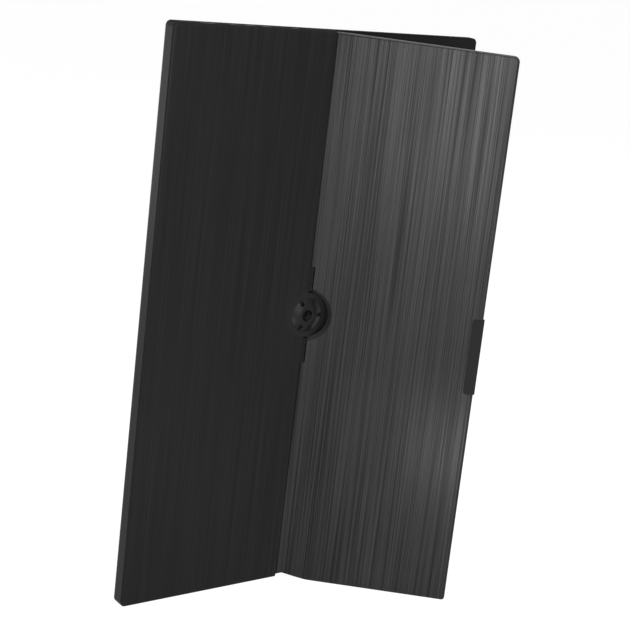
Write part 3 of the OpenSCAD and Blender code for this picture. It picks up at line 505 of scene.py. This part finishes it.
def solder_resist(name, colour):
    """Green board with copper tracks under the resist."""
    material, tree, shader = start_finish(name, 0.35, 0.5)
    point = object_point(tree)
    tracks = add_node(tree, "ShaderNodeTexBrick", {
        "Vector": add_node(tree, "ShaderNodeMapping", {
            "Vector": point, "Rotation": (pi / 2, 0, 0)}).outputs[0],
        "Scale": 300.0, "Mortar Size": 0.03, "Color1": (0, 0, 0, 1), "Color2": (0, 0, 0, 1),
        "Mortar": (1, 1, 1, 1)})
    grain = place_group(tree, GRAIN, {"Point": point, "Cloud": 0.02})
    share = maths(tree, "ADD", maths(tree, "MULTIPLY", tracks.outputs["Fac"], 0.5),
                  maths(tree, "ADD", grain["Cloud"], 0.2))
    light = [c * 2.1 for c in colour]
    tree.links.new(mix_colours(tree, share, rgba(colour), rgba(light)), shader.inputs["Base Color"])
    relief(tree, shader, tracks.outputs["Fac"], 0.00003)
    return material


def colour_of(slot):
    return SLOTS[slot]["base_color"][:3]


record = frame["record"]
SLOTS = {entry["slot"]: entry for entry in record["materials"]}
slot_of = {part["node"]: part["material_slot"] for part in record["subparts"]}
FINISHES = {
    # Painted shade: the housing's grey is set darker than the flap's, for a back that lies in shade.
    # On both, the hub factor paints light onto the disc round the hub.
    "housing_plastic": lambda s: brushed_plastic(
        s, object_point, BACK_Y, (0.0075, 0.0075, 0.0076), contrast=0.25, roughness=0.37,
        specular=0.075, depth=0.03 * MM, sheen=0.12, fine=0.8 * MM, broad=2.6 * MM,
        hub_x=0, smooth_r=PLATFORM_R, hub_painted_light=2.2, top_dulling=0.6),
    "flap_plastic": lambda s: brushed_plastic(
        s, folded_point, BACK_Y - HINGE.y, (0.0115, 0.0115, 0.0117), contrast=0.8, roughness=0.34,
        specular=0.14, depth=0.06 * MM, sheen=0.65, fine=0.5 * MM, broad=2.6 * MM,
        hub_x=-HINGE.x, smooth_r=CUTOUT_R + CUTOUT_CHAMFER, hub_painted_light=2.6),
    "bezel_plastic": lambda s: grained_plastic(s, (0.012, 0.012, 0.0125), 0.45),
    "hub_plastic": lambda s: grained_plastic(s, (0.006, 0.006, 0.0061), 0.3, 0.0002, 0.000003, 0.11),
    "key_plastic": lambda s: grained_plastic(s, colour_of(s), 0.42),
    "flap_plate": lambda s: grained_plastic(s, (0.018, 0.018, 0.019), 0.5, 0.0006, 0.00003),
    "polariser": lambda s: screen_film(s, (0.004, 0.004, 0.005)),
    "cell_glass": lambda s: clear_plastic(s, (0.10, 0.12, 0.13), 0.08),
    "white_film": lambda s: grained_plastic(s, colour_of(s), 0.55, 0.0002, 0.000003),
    "clear_acrylic": lambda s: clear_plastic(s, colour_of(s), 0.1),
    "circuit_board": lambda s: solder_resist(s, colour_of(s)),
    "chip_black": lambda s: grained_plastic(s, colour_of(s), 0.55, 0.00015, 0.000006),
    "amber_film": lambda s: grained_plastic(s, colour_of(s), 0.3, 0.001, 0.000004),
    "tray_metal": lambda s: rolled_sheet(s, colour_of(s), 0.35),
    "black_tape": lambda s: grained_plastic(s, colour_of(s), 0.85, 0.0008, 0.00006),
    "screw_steel": lambda s: turned_metal(s, colour_of(s), 0.3),
    "black_screw": lambda s: turned_metal(s, (0.008, 0.008, 0.0082), 0.42),
    "leaf_steel": lambda s: grained_plastic(
        s, (0.007, 0.007, 0.0071), 0.6, 0.0002, 0.000003, 0.06),
    "pin_steel": lambda s: turned_metal(s, (0.006, 0.006, 0.0061), 0.5),
    "black_rubber": lambda s: soft_rubber(s, (0.007, 0.007, 0.0072)),
}


def dress_frame():
    """Makes every finish and puts it on the CAD pieces of its slot; returns them by slot."""
    made = {slot: make(slot) for slot, make in FINISHES.items()}
    for name, part in nodes.items():
        part.data.materials.clear()
        part.data.materials.append(made[slot_of[name]])
    return made


# ---------------------------------------------------------------- modelling tools

SWING = (Matrix.Translation((HINGE.x, HINGE.y, 0)) @ Matrix.Rotation(-REST_OPEN, 4, "Z")
         @ Matrix.Translation((-HINGE.x, -HINGE.y, 0)))
OUT_OF_BACK = Matrix.Rotation(pi / 2, 4, "X")


def select_only(obj):
    bpy.ops.object.select_all(action="DESELECT")
    obj.select_set(True)
    bpy.context.view_layer.objects.active = obj


def start_editing(obj):
    select_only(obj)
    bpy.ops.object.mode_set(mode="EDIT")
    bpy.ops.mesh.select_mode(type="VERT")
    bpy.ops.mesh.select_all(action="SELECT")


def stop_editing():
    bpy.ops.object.mode_set(mode="OBJECT")


def put_on(obj, kind, **settings):
    """Adds a modifier and applies it."""
    select_only(obj)
    modifier = obj.modifiers.new(kind.lower(), kind)
    for key, value in settings.items():
        setattr(modifier, key, value)
    bpy.ops.object.modifier_apply(modifier=modifier.name)


def round_edges(obj, width, segments=2, angle=30):
    put_on(obj, "BEVEL", width=width, segments=segments, limit_method="ANGLE",
           angle_limit=radians(angle), use_clamp_overlap=True)


def settle(obj, move=None):
    """Moves obj by a matrix, and leaves it at the origin with nothing to apply."""
    if move is not None:
        obj.matrix_world = move @ obj.matrix_world
    select_only(obj)
    bpy.ops.object.transform_apply(location=True, rotation=True, scale=True)


def join(parts):
    select_only(parts[0])
    for part in parts[1:]:
        part.select_set(True)
    bpy.ops.object.join()
    return bpy.context.object


def block(low, high):
    bpy.ops.mesh.primitive_cube_add(size=1, location=[(a + b) / 2 for a, b in zip(low, high)])
    made_block = bpy.context.object
    made_block.scale = [b - a for a, b in zip(low, high)]
    settle(made_block)
    return made_block


def cut(obj, cutter, operation="DIFFERENCE"):
    """Cuts the cutter out of obj, or with INTERSECT keeps what lies inside the cutter."""
    put_on(obj, "BOOLEAN", object=cutter, operation=operation, solver="EXACT")
    bpy.data.objects.remove(cutter)


def round_chosen(obj, width, segments, wanted):
    """Rounds only the edges whose two ends pass wanted."""
    start_editing(obj)
    bpy.ops.mesh.select_mode(type="EDGE")
    bpy.ops.mesh.select_all(action="DESELECT")
    stop_editing()
    points = obj.data.vertices
    for edge in obj.data.edges:
        edge.select = wanted(*[points[index].co for index in edge.vertices])
    bpy.ops.object.mode_set(mode="EDIT")
    bpy.ops.mesh.bevel(offset=width, segments=segments, affect="EDGES")
    stop_editing()


def turned(rings, hollow=False, sides=72):
    """A turned piece along Z, drawn out ring by ring; rings are (radius, height)."""
    bpy.ops.mesh.primitive_circle_add(vertices=sides, radius=rings[0][0], fill_type="NOTHING")
    piece = bpy.context.object
    start_editing(piece)
    bpy.ops.transform.translate(value=(0, 0, rings[0][1]))
    for (radius, height), (last_radius, last_height) in zip(rings[1:], rings):
        bpy.ops.mesh.extrude_region_move(
            TRANSFORM_OT_translate={"value": (0, 0, height - last_height)})
        share = radius / last_radius
        bpy.ops.transform.resize(value=(share, share, 1), center_override=(0, 0, height))
    bpy.ops.mesh.select_all(action="DESELECT")
    bpy.ops.mesh.select_non_manifold()
    if hollow:
        bpy.ops.mesh.bridge_edge_loops()
    else:
        bpy.ops.mesh.edge_face_add()
    bpy.ops.mesh.select_all(action="SELECT")
    bpy.ops.mesh.normals_make_consistent(inside=False)
    stop_editing()
    return piece


def copy_of(node):
    """A loose copy of a CAD piece, its seams closed."""
    copy = bpy.data.objects.new(node + "_copy", nodes[node].data.copy())
    copy.matrix_world = nodes[node].matrix_world
    bpy.context.scene.collection.objects.link(copy)
    settle(copy)
    start_editing(copy)
    if copy.data.has_custom_normals:
        bpy.ops.mesh.customdata_custom_splitnormals_clear()
    bpy.ops.mesh.remove_doubles(threshold=0.000003)
    bpy.ops.mesh.dissolve_limited(angle_limit=radians(0.5))
    stop_editing()
    return copy


def solid_boxes(node, move=None):
    """(lowest, highest) corner of each separate solid of a CAD piece, after a move."""
    copy = copy_of(node)
    if move is not None:
        settle(copy, move)
    start_editing(copy)
    bpy.ops.mesh.separate(type="LOOSE")
    stop_editing()
    boxes = []
    for part in list(bpy.context.selected_objects):
        points = [vertex.co for vertex in part.data.vertices]
        boxes.append((Vector([min(p[i] for p in points) for i in range(3)]),
                      Vector([max(p[i] for p in points) for i in range(3)])))
        bpy.data.objects.remove(part)
    return boxes


def finish_piece(obj, name, *stands_for):
    """Names obj, dresses it for its slot, and lets it move with the CAD pieces it stands for."""
    slot = slot_of[stands_for[0]]
    obj.name = name
    obj.data.name = name
    obj.data.materials.clear()
    obj.data.materials.append(finishes[slot])
    select_only(obj)
    bpy.ops.object.shade_smooth_by_angle(angle=radians(32))
    put_on(obj, "WEIGHTED_NORMAL", keep_sharp=True, weight=100)
    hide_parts(*stands_for)
    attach(obj, body_of(nodes[stands_for[0]])[0])


# ---------------------------------------------------------------- modelled pieces

CONE_TOP_R = 6.85 * MM
CONE_R = 10.9 * MM
MOUTH_R = 3.6 * MM
NOTCH_R = 7.3 * MM
NOTCH_W = 2.6 * MM
NOTCH_FLOOR = 0.3 * MM
THREAD_PITCH = 1.27 * MM
THREAD_ROOT_R = 3.175 * MM
THREAD_CREST_R = 2.55 * MM
THREAD_TOOTH = 0.45 * MM


def hub_ring():
    """The coned ring: turned, then notched at three places, its edges broken."""
    low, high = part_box("hub_ring")
    top, seat, lap = -low.y, -high.y, 0.25 * MM
    ring = turned([
        (MOUTH_R, seat), (CONE_R, seat), (CONE_R, -BACK_Y), (CONE_TOP_R, top),
        (MOUTH_R + lap, top), (MOUTH_R, top - lap)], hollow=True, sides=96)
    for turn in range(3):
        notch = block((NOTCH_R, -NOTCH_W / 2, seat + NOTCH_FLOOR),
                      (CONE_R + MM, NOTCH_W / 2, top + MM))
        settle(notch, Matrix.Rotation(radians(120 * turn), 4, "Z"))
        cut(ring, notch)
    round_edges(ring, 0.12 * MM)
    settle(ring, Matrix.Translation((0, 0, (low.z + high.z) / 2)) @ OUT_OF_BACK)
    finish_piece(ring, "hub_ring_notched", "hub_ring")


def tripod_insert():
    """The flanged insert with its quarter-inch thread: a turned sleeve and a wound tooth."""
    low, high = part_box("tripod_insert")
    top, foot, flange_r = -low.y, -high.y, (high.x - low.x) / 2
    body_r, flange_top, lead_in = 4.6 * MM, foot + 1 * MM, 0.3 * MM
    sleeve = turned([
        (THREAD_ROOT_R, foot), (flange_r, foot), (flange_r, flange_top), (body_r, flange_top),
        (body_r, top), (THREAD_ROOT_R + lead_in, top), (THREAD_ROOT_R, top - lead_in)], hollow=True)
    round_edges(sleeve, 0.08 * MM)
    bpy.ops.mesh.primitive_circle_add(vertices=3, radius=THREAD_TOOTH, fill_type="NOTHING")
    tooth = bpy.context.object
    settle(tooth, Matrix(((0, -1, 0, THREAD_CREST_R + THREAD_TOOTH), (0, 0, -1, 0),
                          (1, 0, 0, foot + THREAD_TOOTH), (0, 0, 0, 1))))
    put_on(tooth, "SCREW", axis="Z", screw_offset=THREAD_PITCH, angle=2 * pi, iterations=3,
           steps=36, render_steps=36)
    start_editing(tooth)
    bpy.ops.mesh.fill_holes(sides=0)
    bpy.ops.mesh.normals_make_consistent(inside=False)
    stop_editing()
    insert = join([sleeve, tooth])
    settle(insert, Matrix.Translation((0, 0, (low.z + high.z) / 2)) @ OUT_OF_BACK)
    finish_piece(insert, "tripod_insert_threaded", "tripod_insert")


def flap_bumpers():
    """Domed rubber feet on the inside of the flap."""
    feet = []
    for low, high in solid_boxes("flap_bumpers", SWING.inverted()):
        radius, tall = (high.x - low.x) / 2, high.y - low.y
        foot = turned([(radius, 0), (radius, 0.5 * tall), (0.94 * radius, 0.76 * tall),
                       (0.8 * radius, 0.91 * tall), (0.55 * radius, tall)], sides=48)
        round_edges(foot, 0.1 * MM, angle=40)
        settle(foot, Matrix.Translation(((low.x + high.x) / 2, low.y, (low.z + high.z) / 2))
               @ Matrix.Rotation(-pi / 2, 4, "X"))
        feet.append(foot)
    bumpers = join(feet)
    settle(bumpers, SWING)
    finish_piece(bumpers, "flap_bumpers_domed", "flap_bumpers")


def socket_contacts():
    """Twelve gilt contacts on each side of the socket's tongue."""
    low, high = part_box("usb_c_tongue")
    pitch, wide, thick = 0.5 * MM, 0.28 * MM, 0.05 * MM
    start_x = (low.x + high.x) / 2 - 5.5 * pitch - wide / 2
    rows = []
    for y in (low.y, high.y):
        contact = block((start_x, y - thick / 2, low.z + 0.9 * MM),
                        (start_x + wide, y + thick / 2, high.z - 0.5 * MM))
        put_on(contact, "ARRAY", count=12, use_relative_offset=False, use_constant_offset=True,
               constant_offset_displace=(pitch, 0, 0))
        round_edges(contact, 0.015 * MM, segments=1)
        rows.append(contact)
    contacts = join(rows)
    contacts.name = "socket_contacts"
    contacts.data.materials.append(turned_metal("gilt", (0.75, 0.50, 0.16), 0.25))
    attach(contacts, body_of(nodes["usb_c_tongue"])[0])


FREE_EDGE_R = 1.6 * MM
FLAP_TOP_R = 3.7 * MM
FLAP_BOTTOM_R = 1.9 * MM


def dished_flap_cover():
    """The flap's cover: its outer face dished round the hub, and its free edge rounded over."""
    cover = copy_of("flap_cover")
    settle(cover, SWING.inverted())
    low, high = solid_boxes("flap_cover", SWING.inverted())[0]
    face, lap = -BACK_Y, 0.5 * MM
    dish = turned([(CUTOUT_R - lap, face - CUTOUT_CHAMFER - lap),
                   (CUTOUT_R + CUTOUT_CHAMFER + lap, face + lap)], sides=144)
    settle(dish, Matrix.Translation((0, 0, HUB_Z)) @ OUT_OF_BACK)
    cut(cover, dish)
    stock = block(low - Vector((MM, 0, 0)), high + Vector((0, MM, 0)))
    for radius, z in ((FLAP_TOP_R, high.z), (FLAP_BOTTOM_R, low.z)):
        round_chosen(stock, radius, 12, lambda a, b: abs(a.y - b.y) > MM
                     and a.x > high.x - 0.01 * MM and abs(a.z - z) < 0.01 * MM)
    round_chosen(stock, FREE_EDGE_R, 8, lambda a, b: max(a.y, b.y) < low.y + 0.01 * MM
                 and min(a.x, b.x) > high.x - 0.7 * FLAP_BOTTOM_R)
    cut(cover, stock, "INTERSECT")
    settle(cover, SWING)
    finish_piece(cover, "flap_cover_dished", "flap_cover")


# Width of the broken edge of each CAD piece shown as a copy, in mm
EDGE_WIDTHS = {
    "pull_tab": 0.8, "front_bezel": 0.15, "flap_inner_plate": 0.15, "power_button": 0.2,
    "menu_button": 0.2, "up_button": 0.2, "down_button": 0.2, "status_light_pipe": 0.2,
    "usb_c_shell": 0.06, "usb_c_tongue": 0.08, "upper_hinge_flap_leaf": 0.12,
    "lower_hinge_flap_leaf": 0.12, "upper_hinge_body_leaf": 0.12, "lower_hinge_body_leaf": 0.12,
    "upper_hinge_pin": 0.1, "lower_hinge_pin": 0.1, "scaler_chip": 0.08, "board_components": 0.12,
    "tact_switches": 0.08, "hub_screws": 0.1, "board_screws": 0.12, "body_leaf_screws": 0.12,
    "flap_leaf_screws": 0.12, "hub_backing_plate": 0.1, "main_board": 0.05, "driver_board": 0.05,
}


def soft_edged_copies():
    """Copies of CAD pieces whose sharp edges are broken as on the real ones."""
    for node, width in EDGE_WIDTHS.items():
        copy = copy_of(node)
        round_edges(copy, width * MM)
        finish_piece(copy, node + "_finished", node)


place_camera()
studio()
finishes = dress_frame()
hub_ring()
tripod_insert()
flap_bumpers()
dished_flap_cover()
socket_contacts()
soft_edged_copies()
